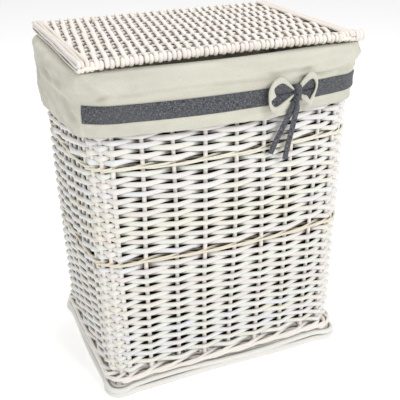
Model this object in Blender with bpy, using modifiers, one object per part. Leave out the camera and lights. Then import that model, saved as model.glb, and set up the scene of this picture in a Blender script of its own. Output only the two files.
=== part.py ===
"""Lidded laundry basket woven from white willow, with a cotton liner folded over its rim and a ribbon bow.

Metres. +X runs right along the long front, -Y is the front, +Z is up, and the origin is on the floor under
the middle of the basket. The basket is built up in bands round one set of upright stakes, as a basket maker
works: foot, base, weave, binding rows, weave, rim. The lid turns on its back rail, inside two willow loops.
"""
import math

import bmesh
import bpy
from mathutils import Vector

GAP = 0.0003                # left between any two pieces that touch

# The wall's plan: a rounded rectangle that changes with height and bellies out between its corners.
BASE_WIDTH, RIM_WIDTH = 0.4335, 0.450
BASE_DEPTH, RIM_DEPTH = 0.3077, 0.2939
SHAPE_HEIGHT = 0.550        # height at which the rim sizes hold
CORNER_RADIUS = 0.035
BELLY = 0.0247              # how far the long walls stand out in their middle at the rim
END_BELLY_SHARE = 0.6       # the same for the short walls, as a share
WALL = 0.021                # a stake with a rod on each side of it
BACKSET = 0.004             # the wall's middle lies this far behind the origin, as the bow stands out in front

# Heights of the woven bands, each from its own level up to the next one.
FOOT_BORDER_Z = 0.0
FOOT_WALE_Z = 0.022
LOWER_WEAVE_Z = 0.045
LOWER_WALE_Z = 0.239
MIDDLE_WEAVE_Z = 0.259
UPPER_WALE_Z = 0.402
UPPER_WEAVE_Z = 0.420
RIM_BORDER_Z = 0.536
RIM_TOP_Z = 0.5535
FOOT_SPREAD = 0.006         # the foot stands this far outside the wall
FOOT_ROUNDING = 0.004

STAKE_RADIUS = 0.0031
STAKE_FOOT_Z = 0.004
STAKE_BEND_Z = 0.280
STAKE_TOP_Z = 0.545         # inside the rim border, which is made of the stakes' own tips
LONG_PITCH, LONG_STAKES = 0.0507, 7
SHORT_PITCH, SHORT_STAKES = 0.048, 4
CORNER_STAKES = 4

BASE_BOTTOM_Z, BASE_TOP_Z = 0.0225, 0.0345
BASE_STICK_RADIUS = 0.0035
BASE_STICKS, BASE_STICK_PITCH = 5, 0.048

# The liner: a bag inside the basket and a cuff folded over the rim.
CLOTH = 0.0015
BAG_CLEARANCE = 0.003       # the bag hangs this far inside the wall
BAG_TOP_Z = 0.5295
CUFF_LOW_Z, CUFF_TOP_Z, CUFF_HEM_Z = 0.465, 0.557, 0.530
CUFF_THICKNESS, CUFF_STAND_OFF = 0.003, 0.0055
CUFF_ROUNDING = 0.010
BAND_LOW_Z, BAND_TOP_Z, BAND_THICKNESS = 0.4855, 0.5115, 0.0012

# The bow, on the band right of the middle.
KNOT_X, KNOT_Z = 0.096, 0.4995
KNOT_WIDTH, KNOT_HEIGHT = 0.0105, 0.024
BOW_DEPTH, BOW_CLEARANCE, RIBBON = 0.009, 0.0006, 0.0010
LOOP_LENGTH, LOOP_HEIGHT, LOOP_FOOT = 0.041, 0.050, 0.006
SMALL_LOOP_SHARE = 0.78
LEFT_LOOP_TILT, RIGHT_LOOP_TILT = math.radians(-4), math.radians(10)
TAIL_WIDTH, TAIL_THICKNESS = 0.010, 0.0016
TAIL_ENDS = {"bow_tail_left": (0.0565, 0.407), "bow_tail_right": (0.0825, 0.3945)}

# The lid: sticks along X, held by rods woven front to back over and round them.
LID_WIDTH, LID_DEPTH, LID_THICKNESS = 0.4435, 0.313, 0.0178
LID_X, LID_Y = -0.008, BACKSET + 0.0025
LID_ARCH = 0.003            # rise of the front edge in its middle
RAIL_RADIUS, LID_STICK_RADIUS = 0.0038, 0.0032
LID_STICKS = 6
LID_BORDER_WIDTH = 0.018
LID_TOE_REACH, LID_TOE_DEPTH = 0.019, 0.009    # the front rail's wrapped end, past the right border
LID_Z = CUFF_TOP_Z + GAP + LID_THICKNESS / 2
HINGE_Y = LID_Y + (LID_DEPTH - LID_THICKNESS) / 2
LID_FRONT_Y = 2 * LID_Y - HINGE_Y
HINGE_X = 2.5 * LONG_PITCH  # midway between two stakes
HINGE_WIRE = 0.0018
HINGE_SLOT_HALF_WIDTH, HINGE_SLOT_REACH = 0.006, 0.0165

WILLOW = ("white_willow", (0.86, 0.83, 0.76), 0.62)
WILLOW_CORE = ("willow_stick", (0.80, 0.75, 0.65), 0.65)
COTTON = ("ivory_cotton", (0.87, 0.85, 0.77), 0.90)
CHAMBRAY = ("grey_chambray", (0.17, 0.19, 0.24), 0.92)


def clear_scene():
    for obj in list(bpy.data.objects):
        bpy.data.objects.remove(obj)


def new_collection(name):
    made = bpy.data.collections.new(name)
    bpy.context.scene.collection.children.link(made)
    return made


def material(name, colour, roughness):
    found = bpy.data.materials.get(name)
    if found:
        return found
    made = bpy.data.materials.new(name)
    made.use_nodes = True
    shader = made.node_tree.nodes["Principled BSDF"]
    shader.inputs["Base Color"].default_value = (*colour, 1.0)
    shader.inputs["Roughness"].default_value = roughness
    shader.inputs["Metallic"].default_value = 0.0
    return made


def add_object(name, mesh, finish, collection):
    obj = bpy.data.objects.new(name, mesh)
    collection.objects.link(obj)
    if finish:
        mesh.materials.append(material(*finish))
        mesh.shade_smooth()
        mesh.set_sharp_from_angle(angle=math.radians(40))
    else:
        obj.hide_render = True
        obj.display_type = "WIRE"
    return obj


# ---------------------------------------------------------------- the wall's plan

def wall_point(z, inset, across, along, angle):
    """A point of the wall's plan at height z, moved in by inset. It lies at angle round an arc whose centre
    is at the shares across and along of the way from the middle to the corners' own centres."""
    rise = z / SHAPE_HEIGHT
    half_width = (BASE_WIDTH + (RIM_WIDTH - BASE_WIDTH) * rise) / 2
    half_depth = (BASE_DEPTH + (RIM_DEPTH - BASE_DEPTH) * rise) / 2
    belly = BELLY * math.sin(math.pi / 2 * min(max(rise, 0.0), 1.0))
    out_x, out_y = math.cos(angle), math.sin(angle)
    radius = CORNER_RADIUS - inset
    x = across * (half_width - CORNER_RADIUS) + radius * out_x
    y = along * (half_depth - CORNER_RADIUS) + radius * out_y
    bellied_x = x + out_x * END_BELLY_SHARE * belly * max(0.0, 1 - (y / half_depth) ** 2)
    bellied_y = y + out_y * belly * max(0.0, 1 - (x / half_width) ** 2)
    return Vector((bellied_x, bellied_y + BACKSET, z))


CORNERS = ((1, 1), (-1, 1), (-1, -1), (1, -1))


def plan_stations(corner_steps, long_shares, short_shares):
    """The places (across, along, angle) round the plan: each corner's arc, then the side that follows it."""
    places = []
    for quarter, (across, along) in enumerate(CORNERS):
        for step in range(corner_steps + 1):
            places.append((across, along, math.pi / 2 * (quarter + step / corner_steps)))
        side_angle = math.pi / 2 * (quarter + 1)
        if quarter % 2 == 0:
            places += [(share * across, along, side_angle) for share in long_shares]
        else:
            places += [(across, share * along, side_angle) for share in short_shares]
    return places


def even_shares(parts):
    """The shares between two ends, from near 1 to near -1."""
    return [1 - 2 * k / parts for k in range(1, parts)]


def pitched_shares(count, pitch, reach):
    return [((count - 1) / 2 - k) * pitch / reach for k in range(count)]


OUTLINE = plan_stations(4, even_shares(6), even_shares(4))
STAKES = plan_stations(
    CORNER_STAKES - 1,
    pitched_shares(LONG_STAKES, LONG_PITCH, RIM_WIDTH / 2 - CORNER_RADIUS),
    pitched_shares(SHORT_STAKES, SHORT_PITCH, RIM_DEPTH / 2 - CORNER_RADIUS),
)


# ---------------------------------------------------------------- shapes

def loft(name, sections, finish, collection, ring):
    """Joins closed sections of equal point count into one skin, round in a ring or capped at its two ends."""
    bm = bmesh.new()
    rows = [[bm.verts.new(point) for point in section] for section in sections]
    pairs = list(zip(rows, rows[1:] + rows[:1])) if ring else list(zip(rows, rows[1:]))
    for row, after in pairs:
        for k in range(len(row)):
            nxt = (k + 1) % len(row)
            bm.faces.new((row[k], row[nxt], after[nxt], after[k]))
    if not ring:
        bm.faces.new(list(reversed(rows[0])))
        bm.faces.new(rows[-1])
    bmesh.ops.recalc_face_normals(bm, faces=bm.faces)
    mesh = bpy.data.meshes.new(name)
    bm.to_mesh(mesh)
    bm.free()
    return add_object(name, mesh, finish, collection)


def wall_ring(name, profile, finish, collection):
    """A ring that follows the wall's plan, with a closed profile of (height, inset) points."""
    sections = [[wall_point(z, inset, *place) for z, inset in profile] for place in OUTLINE]
    return loft(name, sections, finish, collection, ring=True)


def rod(name, points, radius, finish, collection, sides=6, closed=False):
    """A round rod through the points, as a mesh with its caps welded."""
    curve = bpy.data.curves.new(name, "CURVE")
    curve.dimensions = "3D"
    curve.bevel_depth = radius
    curve.bevel_resolution = sides // 2 - 2
    curve.use_fill_caps = not closed
    spline = curve.splines.new("POLY")
    spline.points.add(len(points) - 1)
    for target, point in zip(spline.points, points):
        target.co = (*point, 1.0)
    spline.use_cyclic_u = closed
    guide = bpy.data.objects.new(name, curve)
    collection.objects.link(guide)
    evaluated = guide.evaluated_get(bpy.context.evaluated_depsgraph_get())
    mesh = bpy.data.meshes.new_from_object(evaluated)
    bpy.data.objects.remove(guide)
    bm = bmesh.new()
    bm.from_mesh(mesh)
    bmesh.ops.remove_doubles(bm, verts=bm.verts, dist=1e-6)
    bmesh.ops.recalc_face_normals(bm, faces=bm.faces)
    bm.to_mesh(mesh)
    bm.free()
    mesh.name = name
    return add_object(name, mesh, finish, collection)


def box(name, low, high, finish, collection):
    low, high = Vector(low), Vector(high)
    bm = bmesh.new()
    bmesh.ops.create_cube(bm, size=1.0)
    for vert in bm.verts:
        vert.co = Vector((vert.co[k] * (high[k] - low[k]) for k in range(3))) + (low + high) / 2
    mesh = bpy.data.meshes.new(name)
    bm.to_mesh(mesh)
    bm.free()
    return add_object(name, mesh, finish, collection)


def combine(obj, other, operation):
    """Cuts or joins an object, or every object of a collection, into obj."""
    boolean = obj.modifiers.new(operation.title(), "BOOLEAN")
    boolean.operation = operation
    boolean.solver = "EXACT"
    if isinstance(other, bpy.types.Collection):
        boolean.operand_type = "COLLECTION"
        boolean.collection = other
    else:
        boolean.object = other


def round_edges(obj, width, segments=2):
    bevel = obj.modifiers.new("Rounded edges", "BEVEL")
    bevel.width = width
    bevel.segments = segments


def channel_radius(stick_radius):
    """Corner radius of a square channel that leaves the gap all round a stick."""
    return (stick_radius + GAP) * math.sqrt(2)


# ---------------------------------------------------------------- the basket

def stake_path(place, foot_z):
    return [wall_point(z, WALL / 2, *place) for z in (foot_z, STAKE_BEND_Z, STAKE_TOP_Z)]


def build_walls(parts, cutters, tubes):
    """The woven bands, bored for the stakes, and the stakes with the rim border that their tips make."""
    for number, place in enumerate(STAKES, start=1):
        rod(f"stake_channel_{number}", stake_path(place, STAKE_FOOT_Z - GAP),
            channel_radius(STAKE_RADIUS), None, cutters, sides=4)
        rod(f"stake_{number}", stake_path(place, STAKE_FOOT_Z), STAKE_RADIUS, None, tubes)

    foot_out = -FOOT_SPREAD
    foot_top = FOOT_WALE_Z - GAP
    foot_border = [
        (FOOT_BORDER_Z, foot_out + FOOT_ROUNDING), (FOOT_BORDER_Z + FOOT_ROUNDING, foot_out),
        (foot_top - FOOT_ROUNDING, foot_out), (foot_top, foot_out + FOOT_ROUNDING),
        (foot_top, WALL), (FOOT_BORDER_Z, WALL),
    ]
    bands = {"foot_border": foot_border}
    levels = {
        "foot_wale": (FOOT_WALE_Z, LOWER_WEAVE_Z, -FOOT_SPREAD / 2),
        "weave_lower": (LOWER_WEAVE_Z, LOWER_WALE_Z, 0.0),
        "wale_lower": (LOWER_WALE_Z, MIDDLE_WEAVE_Z, 0.0),
        "weave_middle": (MIDDLE_WEAVE_Z, UPPER_WALE_Z, 0.0),
        "wale_upper": (UPPER_WALE_Z, UPPER_WEAVE_Z, 0.0),
        "weave_upper": (UPPER_WEAVE_Z, RIM_BORDER_Z, 0.0),
    }
    for name, (low, high, outside) in levels.items():
        top = high - GAP
        bands[name] = [(low, outside), (top, outside), (top, WALL), (low, WALL)]
    made = {}
    for name, profile in bands.items():
        made[name] = wall_ring(name, profile, WILLOW, parts)
        combine(made[name], cutters, "DIFFERENCE")

    rim = [(RIM_BORDER_Z, 0.0), (RIM_TOP_Z, 0.0), (RIM_TOP_Z, WALL), (RIM_BORDER_Z, WALL)]
    combine(wall_ring("stakes_and_rim", rim, WILLOW, parts), tubes, "UNION")
    return made["weave_upper"]


def build_base(parts, guides):
    """The woven base, a mat with its sticks run through it, resting inside the foot's upper ring."""
    inset = WALL + GAP
    rows = [[wall_point(z, inset, *place) for place in OUTLINE] for z in (BASE_BOTTOM_Z, BASE_TOP_Z)]
    mat = loft("base_mat", rows, WILLOW, parts, ring=False)
    height = (BASE_BOTTOM_Z + BASE_TOP_Z) / 2
    for number in range(1, BASE_STICKS + 1):
        y = BACKSET + (number - (BASE_STICKS + 1) / 2) * BASE_STICK_PITCH
        reach = BASE_WIDTH / 2 - WALL - FOOT_SPREAD
        rod(f"base_stick_{number}", [(-reach, y, height), (reach, y, height)],
            BASE_STICK_RADIUS, WILLOW_CORE, parts)
        ends = [(side * BASE_WIDTH / 2, y, height) for side in (-1, 1)]
        combine(mat, rod(f"base_channel_{number}", ends, channel_radius(BASE_STICK_RADIUS), None, guides,
                         sides=4), "DIFFERENCE")


def build_liner(parts, guides, hinge_slots):
    """The bag, the cuff folded over the rim with a slit for each hinge loop, and the ribbon on its front."""
    bag_inset = WALL + BAG_CLEARANCE + CLOTH
    bag_floor = BASE_TOP_Z + GAP + CLOTH
    bm = bmesh.new()
    heights = (bag_floor, LOWER_WEAVE_Z, LOWER_WALE_Z, MIDDLE_WEAVE_Z, UPPER_WALE_Z, UPPER_WEAVE_Z, BAG_TOP_Z)
    rows = [[bm.verts.new(wall_point(z, bag_inset, *place)) for place in OUTLINE] for z in heights]
    for row, after in zip(rows, rows[1:]):
        for k in range(len(row)):
            nxt = (k + 1) % len(row)
            bm.faces.new((row[k], row[nxt], after[nxt], after[k]))
    bm.faces.new(list(reversed(rows[0])))
    mesh = bpy.data.meshes.new("liner_bag")
    bm.to_mesh(mesh)
    bm.free()
    bag = add_object("liner_bag", mesh, COTTON, parts)
    shell = bag.modifiers.new("Cloth", "SOLIDIFY")
    shell.thickness = CLOTH
    shell.offset = 1.0

    outside, skirt_in = -CUFF_STAND_OFF, CUFF_THICKNESS - CUFF_STAND_OFF
    inside = WALL + GAP + CUFF_THICKNESS
    under = RIM_TOP_Z + GAP
    cuff_profile = [
        (CUFF_LOW_Z, outside), (CUFF_TOP_Z - CUFF_ROUNDING, outside),
        (CUFF_TOP_Z - CUFF_THICKNESS, outside + CUFF_THICKNESS), (CUFF_TOP_Z, outside + CUFF_ROUNDING),
        (CUFF_TOP_Z, inside - CUFF_THICKNESS), (CUFF_TOP_Z - CUFF_THICKNESS, inside), (CUFF_HEM_Z, inside),
        (CUFF_HEM_Z, WALL + GAP), (under, WALL + GAP), (under, skirt_in + GAP), (CUFF_LOW_Z, skirt_in),
    ]
    cuff = wall_ring("liner_cuff", cuff_profile, COTTON, parts)
    combine(cuff, hinge_slots, "DIFFERENCE")

    ribbon = [(BAND_LOW_Z, outside - GAP), (BAND_TOP_Z, outside - GAP),
              (BAND_TOP_Z, outside - GAP - BAND_THICKNESS), (BAND_LOW_Z, outside - GAP - BAND_THICKNESS)]
    front = OUTLINE.index((-1, -1, math.pi))
    stretch = OUTLINE[front + 2:front + 4 + 6 + 3]
    loft("cuff_band", [[wall_point(z, inset, *place) for z, inset in ribbon] for place in stretch],
         CHAMBRAY, parts, ring=False)


def loop_line(length, height, foot_height, steps=16):
    """A drop-shaped line (reach, rise) that leaves the knot above its middle and comes back below it."""
    fullness = height / 2 - foot_height * math.cos(math.pi / 4)
    points = []
    for k in range(steps + 1):
        turn = math.pi * k / steps
        rise = foot_height * math.cos(turn) + fullness * math.sin(2 * turn)
        points.append(Vector((length * math.sin(turn), rise)))
    return points


def band_front(x):
    """Y just clear of the ribbon band at x, where the bow's pieces lie."""
    share = x / (RIM_WIDTH / 2 - CORNER_RADIUS)
    outside = CUFF_STAND_OFF + GAP + BAND_THICKNESS + BOW_CLEARANCE
    return wall_point(KNOT_Z, -outside, share, -1, -math.pi / 2).y


def bow_loop(name, side, tilt, layer, finish, parts):
    """A ribbon bent along the loop's line and standing out from the band by its width. Layer 0 is the outer
    one, and layer 1 lies inside it."""
    length = LOOP_LENGTH * (1.0 if side < 0 else SMALL_LOOP_SHARE)
    line = loop_line(length, LOOP_HEIGHT, LOOP_FOOT)
    sections = []
    for k, point in enumerate(line):
        along = (line[min(k + 1, len(line) - 1)] - line[max(k - 1, 0)]).normalized()
        inward = Vector((along.y, -along.x))
        section = []
        for depth, offset in ((0, 0), (1, 0), (1, 1), (0, 1)):
            place = point + inward * (layer * (RIBBON + GAP) + offset * RIBBON)
            turned_x = place.x * math.cos(tilt) - place.y * math.sin(tilt)
            turned_z = place.x * math.sin(tilt) + place.y * math.cos(tilt)
            start_x = KNOT_X + side * (KNOT_WIDTH / 2 + LOOP_FOOT * math.sin(abs(tilt)) + 2 * GAP)
            x = start_x + side * turned_x
            section.append((x, band_front(x) - depth * BOW_DEPTH, KNOT_Z + turned_z))
        sections.append(section)
    loft(name, sections, finish, parts, ring=False)


def build_bow(parts):
    """A two-faced ribbon bow: outer loops in cotton, inner loops, knot and tails in chambray."""
    back = band_front(KNOT_X - KNOT_WIDTH / 2)
    knot = box("bow_knot", (KNOT_X - KNOT_WIDTH / 2, back - BOW_DEPTH, KNOT_Z - KNOT_HEIGHT / 2),
               (KNOT_X + KNOT_WIDTH / 2, back, KNOT_Z + KNOT_HEIGHT / 2), CHAMBRAY, parts)
    round_edges(knot, 0.002)
    for side, label, tilt in ((-1, "left", LEFT_LOOP_TILT), (1, "right", RIGHT_LOOP_TILT)):
        bow_loop(f"bow_loop_{label}", side, tilt, 0, COTTON, parts)
        bow_loop(f"bow_lining_{label}", side, tilt, 1, CHAMBRAY, parts)
    for name, (end_x, end_z) in TAIL_ENDS.items():
        in_front = 0 if name.endswith("left") else 1
        start = Vector((KNOT_X + (in_front - 0.5) * TAIL_WIDTH * 0.6, KNOT_Z - KNOT_HEIGHT / 2 - GAP))
        end = Vector((end_x, end_z))
        along = (end - start).normalized()
        square = Vector((-along.y, along.x)) * TAIL_WIDTH / 2
        pinched = Vector((TAIL_WIDTH * 0.2, 0.0))
        sections = []
        for share, half_across in ((0.0, pinched), (0.3, square), (1.0, square)):
            middle = start.lerp(end, share)
            corners = []
            for offset, depth in ((-1, 0), (1, 0), (1, 1), (-1, 1)):
                place = middle + half_across * offset
                front = band_front(place.x) - in_front * (TAIL_THICKNESS + GAP)
                corners.append((place.x, front - depth * TAIL_THICKNESS, place.y))
            sections.append(corners)
        loft(name, sections, CHAMBRAY, parts, ring=False)


# ---------------------------------------------------------------- the lid and its hinge loops

def lid_rise(x, y):
    """The lid arches a little towards its front edge; its back rail is straight."""
    forward = (HINGE_Y - y) / (LID_DEPTH - LID_THICKNESS)
    return LID_ARCH * forward * max(0.0, 1 - (2 * (x - LID_X) / LID_WIDTH) ** 2)


def lid_section(x, back_y=HINGE_Y):
    """The lid cut across at x: flat on both faces, with round front and back edges."""
    points = []
    radius = LID_THICKNESS / 2
    for centre_y, first in ((back_y, -90), (LID_FRONT_Y, 90)):
        for step in range(5):
            angle = math.radians(first + 45 * step)
            y = centre_y + radius * math.cos(angle)
            z = LID_Z + radius * math.sin(angle) + lid_rise(x, centre_y)
            points.append((x, y, z))
    return points


def lid_stretch(name, start_x, end_x, steps, parts):
    sections = [lid_section(start_x + (end_x - start_x) * k / steps) for k in range(steps + 1)]
    return loft(name, sections, WILLOW, parts, ring=False)


def lid_stick_points(y, left, right, steps=6):
    points = []
    for k in range(steps + 1):
        x = left + (right - left) * k / steps
        points.append((x, y, LID_Z + lid_rise(x, y)))
    return points


def build_lid(parts, guides, hinge_slots):
    half = LID_WIDTH / 2
    inner = half - LID_BORDER_WIDTH
    pieces = [
        lid_stretch("lid_weave", LID_X - inner, LID_X + inner, 6, parts),
        lid_stretch("lid_left_border", LID_X - half, LID_X - inner - GAP, 1, parts),
        lid_stretch("lid_right_border", LID_X + inner + GAP, LID_X + half, 1, parts),
    ]
    toe_places = (LID_X + half - LID_BORDER_WIDTH / 4, LID_X + half, LID_X + half + LID_TOE_REACH)
    toe = loft("lid_toe", [lid_section(x, LID_FRONT_Y + LID_TOE_DEPTH) for x in toe_places], None, guides,
               ring=False)
    combine(pieces[2], toe, "UNION")
    pitch = (HINGE_Y - LID_FRONT_Y) / (LID_STICKS + 1)
    sticks = {"lid_front_rail": (LID_FRONT_Y, RAIL_RADIUS), "lid_back_rail": (HINGE_Y, RAIL_RADIUS)}
    for number in range(1, LID_STICKS + 1):
        sticks[f"lid_stick_{number}"] = (LID_FRONT_Y + number * pitch, LID_STICK_RADIUS)
    channels = new_collection("lid channels")
    for name, (y, radius) in sticks.items():
        right = LID_X + half + (LID_TOE_REACH if name == "lid_front_rail" else 0.0)
        rod(name, lid_stick_points(y, LID_X - half + 0.001, right - 0.001), radius, WILLOW_CORE, parts)
        rod(f"{name}_channel", lid_stick_points(y, LID_X - half - 0.010, right + 0.010),
            channel_radius(radius), None, channels, sides=4)
    for piece in pieces:
        combine(piece, channels, "DIFFERENCE")
    for side, label in ((-1, "left"), (1, "right")):
        slot = box(f"lid_slot_{label}",
                   (side * HINGE_X - HINGE_SLOT_HALF_WIDTH, HINGE_Y - HINGE_SLOT_REACH, LID_Z - LID_THICKNESS),
                   (side * HINGE_X + HINGE_SLOT_HALF_WIDTH, HINGE_Y + LID_THICKNESS, LID_Z + LID_THICKNESS),
                   None, guides)
        combine(pieces[0], slot, "DIFFERENCE")


def belt_round(circles, steps):
    """The closed line that a belt pulled tight round these circles (y, z, radius) takes."""
    points = []
    for k in range(steps):
        angle = 2 * math.pi * (k + 0.5) / steps
        out_y, out_z = math.cos(angle), math.sin(angle)
        y, z, radius = max(circles, key=lambda c: c[0] * out_y + c[1] * out_z + c[2])
        points.append((y + radius * out_y, z + radius * out_z))
    return points


def build_hinges(parts, guides, weave_upper):
    """Two willow loops, each tied round the rim border and the lid's back rail."""
    for side, label in ((-1, "left"), (1, "right")):
        x = side * HINGE_X
        across = x / (RIM_WIDTH / 2 - CORNER_RADIUS)
        rim_out = wall_point(RIM_TOP_Z, 0.0, across, 1, math.pi / 2).y
        rim_in = rim_out - WALL
        clearance = HINGE_WIRE + GAP
        circles = [(HINGE_Y, LID_Z, RAIL_RADIUS + clearance)]
        circles += [(y, z, clearance) for y in (rim_in, rim_out) for z in (RIM_BORDER_Z, RIM_TOP_Z)]
        path = [(x, y, z) for y, z in belt_round(circles, 28)]
        rod(f"hinge_loop_{label}", path, HINGE_WIRE, WILLOW_CORE, parts, closed=True)
        groove_half = HINGE_WIRE + 2 * GAP
        groove = box(f"hinge_groove_{label}",
                     (x - groove_half, rim_in - WALL, RIM_BORDER_Z - 2 * clearance - GAP),
                     (x + groove_half, rim_out + WALL, RIM_BORDER_Z + GAP), None, guides)
        combine(weave_upper, groove, "DIFFERENCE")


def hinge_slots():
    """Slits through the cuff where the hinge loops pass."""
    slots = new_collection("liner slits")
    for side, label in ((-1, "left"), (1, "right")):
        box(f"liner_slit_{label}", (side * HINGE_X - 0.004, HINGE_Y - 0.030, CUFF_HEM_Z - 0.002),
            (side * HINGE_X + 0.004, HINGE_Y + 0.030, CUFF_TOP_Z + 0.010), None, slots)
    return slots


def main():
    clear_scene()
    parts = new_collection("laundry basket")
    guides = new_collection("cutters")
    slots = hinge_slots()
    channels = new_collection("stake channels")
    tubes = new_collection("stake tubes")
    weave_upper = build_walls(parts, channels, tubes)
    build_base(parts, guides)
    build_liner(parts, guides, slots)
    build_bow(parts)
    build_lid(parts, guides, slots)
    build_hinges(parts, guides, weave_upper)


main()
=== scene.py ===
"""Looks for the lidded laundry basket: woven white willow, a cotton liner folded over the rim, a ribbon bow.

Metres, in the CAD model's frame: +X right along the front, -Y the front, +Z up.
"""
import math

import bpy
import numpy as np
from mathutils import Matrix, Vector, noise


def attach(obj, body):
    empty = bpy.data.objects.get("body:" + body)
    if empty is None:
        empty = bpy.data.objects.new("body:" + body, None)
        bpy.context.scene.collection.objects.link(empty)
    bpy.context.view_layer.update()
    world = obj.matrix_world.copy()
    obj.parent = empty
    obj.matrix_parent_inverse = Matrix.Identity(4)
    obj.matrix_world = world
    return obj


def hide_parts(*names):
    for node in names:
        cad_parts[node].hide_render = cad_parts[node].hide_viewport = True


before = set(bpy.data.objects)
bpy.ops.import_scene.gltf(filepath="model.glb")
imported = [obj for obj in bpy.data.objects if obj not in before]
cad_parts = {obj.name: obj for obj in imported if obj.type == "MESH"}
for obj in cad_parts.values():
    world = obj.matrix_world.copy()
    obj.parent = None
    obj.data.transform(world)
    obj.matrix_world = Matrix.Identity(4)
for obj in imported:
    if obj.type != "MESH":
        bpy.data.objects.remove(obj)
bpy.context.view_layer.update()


RNG = np.random.default_rng(11)

# The basket's plan and levels, as in the CAD model.
BASE_WIDTH, RIM_WIDTH = 0.4335, 0.450
BASE_DEPTH, RIM_DEPTH = 0.3077, 0.2939
SHAPE_HEIGHT, CORNER_RADIUS = 0.550, 0.035
BELLY, END_BELLY_SHARE = 0.0247, 0.6
WALL, BACKSET = 0.021, 0.004
LOWER_WEAVE_Z, LOWER_WALE_Z, MIDDLE_WEAVE_Z = 0.045, 0.239, 0.259
UPPER_WALE_Z, UPPER_WEAVE_Z, RIM_BORDER_Z, RIM_TOP_Z = 0.402, 0.420, 0.536, 0.5535
FOOT_SPREAD, FOOT_CORNER_PUSH = 0.006, 0.0115  # how far the foot stands out of the wall, and more at corners
LONG_PITCH, SHORT_PITCH = 0.0507, 0.048
STAKE_RADIUS = 0.0031
CUFF_LOW_Z, CUFF_TOP_Z, CUFF_HEM_Z, CUFF_STAND_OFF = 0.465, 0.557, 0.530, 0.0055
BAND_LOW_Z, BAND_TOP_Z = 0.4855, 0.5115
KNOT_X, KNOT_Z = 0.096, 0.4995
LID_WIDTH, LID_DEPTH, LID_THICKNESS = 0.4435, 0.313, 0.0178
LID_X, LID_Y, LID_ARCH = -0.008, BACKSET + 0.0025, 0.003
LID_Z = CUFF_TOP_Z + 0.0003 + LID_THICKNESS / 2
LID_BORDER_WIDTH, LID_TOE_REACH, LID_TOE_DEPTH = 0.018, 0.019, 0.009
HINGE_SLOT_HALF_WIDTH, HINGE_SLOT_REACH = 0.006, 0.0165
RAIL_RADIUS, LID_STICK_RADIUS, LID_STICKS = 0.0038, 0.0032, 6
LID_RODS, LID_ROD_THICK = 58, 0.0025  # the lid weave's rods, and half of a rod's thickness
EDGE_ROD, EDGE_TURN = 0.0036, 0.014  # radii of the rod along the lid's end, and of its turn at the corner
TOE_ROD, TOE_TURNS = 0.0032, 3
HINGE_STRAND, HINGE_TWIST, HINGE_CLEARANCE = 0.0011, 0.011, 0.0021  # twist: the length of one turn
HINGE_Y = LID_Y + (LID_DEPTH - LID_THICKNESS) / 2
FRONT_RAIL_Y = 2 * LID_Y - HINGE_Y
HINGE_X = 2.5 * LONG_PITCH
BASE_STICKS, BASE_STICK_PITCH, BASE_STICK_RADIUS = 5, 0.048, 0.0035
BASE_MIDDLE_Z, MAT_HALF_WIDTH, MAT_HALF_DEPTH, MAT_BULGE, MAT_PITCH = 0.0285, 0.190, 0.1225, 0.010, 0.0078

# The weave.
ROD_UP, ROD_OUT = 0.00405, 0.0030  # half sizes of a weaving rod, up the wall and across it
FOOT_SWELL, RIM_SWELL = -0.06, 0.22  # how much taller a rod is at a stake than between two, low and high up
WEAVE_STRAY, ROD_JITTER = 0.0003, 0.07  # how much whole rows vary in height, and rods in thickness
ROW_REACH = 0.0026  # how far the rows next to a wale stray into its height
WEAVE_DEPTH = 0.0061  # from the wall's middle to a rod's middle where it passes a stake
STEPS = 10  # points per stake on a rod
WALE_RISE, WALE_ROD, WALE_STRANDS = 0.0042, 0.0020, 4
WALE_START = 6  # the stake where wales and borders start, behind
FOOT_WALE_MIDDLE, FOOT_WALE_RISE, FOOT_WALE_ROD = 0.0318, 0.0068, 0.0036
# The foot border's rods: height, how far out of the foot's middle, and radius.
FOOT_RODS = ((0.0056, 0.0040, 0.0051), (0.0060, -0.0048, 0.0050), (0.0147, 0.0016, 0.0046),
             (0.0158, -0.0048, 0.0044))
RIM_STRANDS, RIM_ROD, RIM_WAVE_UP, RIM_WAVE_OUT = 4, 0.0040, 0.0047, 0.0058
FIRST_FRONT, LAST_FRONT = 22, 30  # stakes at the two ends of the front
FRONT_SHIFT = 0.08  # the front's stakes stand this share of a pitch right of even places


# ---------------- the wall's plan

def stake_places():
    places = []
    for quarter, (across, along) in enumerate(((1, 1), (-1, 1), (-1, -1), (1, -1))):
        places += [(across, along, math.pi / 2 * (quarter + step / 3)) for step in range(4)]
        side_angle = math.pi / 2 * (quarter + 1)
        if quarter % 2 == 0:
            reach = RIM_WIDTH / 2 - CORNER_RADIUS
            places += [((3 - k) * LONG_PITCH / reach * across, along, side_angle) for k in range(7)]
        else:
            reach = RIM_DEPTH / 2 - CORNER_RADIUS
            places += [(across, (1.5 - k) * SHORT_PITCH / reach * along, side_angle) for k in range(4)]
    return np.array(places)


STAKES = stake_places()
COUNT = len(STAKES)


def place_at(t):
    """The plan's place (across, along, angle) at stake number t, and between stakes."""
    t = np.mod(np.asarray(t, float), COUNT)
    low = np.floor(t).astype(int) % COUNT
    after = STAKES[(low + 1) % COUNT].copy()
    after[..., 2] += np.where(low == COUNT - 1, 2 * math.pi, 0.0)
    share = (t - np.floor(t))[..., None]
    return STAKES[low] * (1 - share) + after * share


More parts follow.
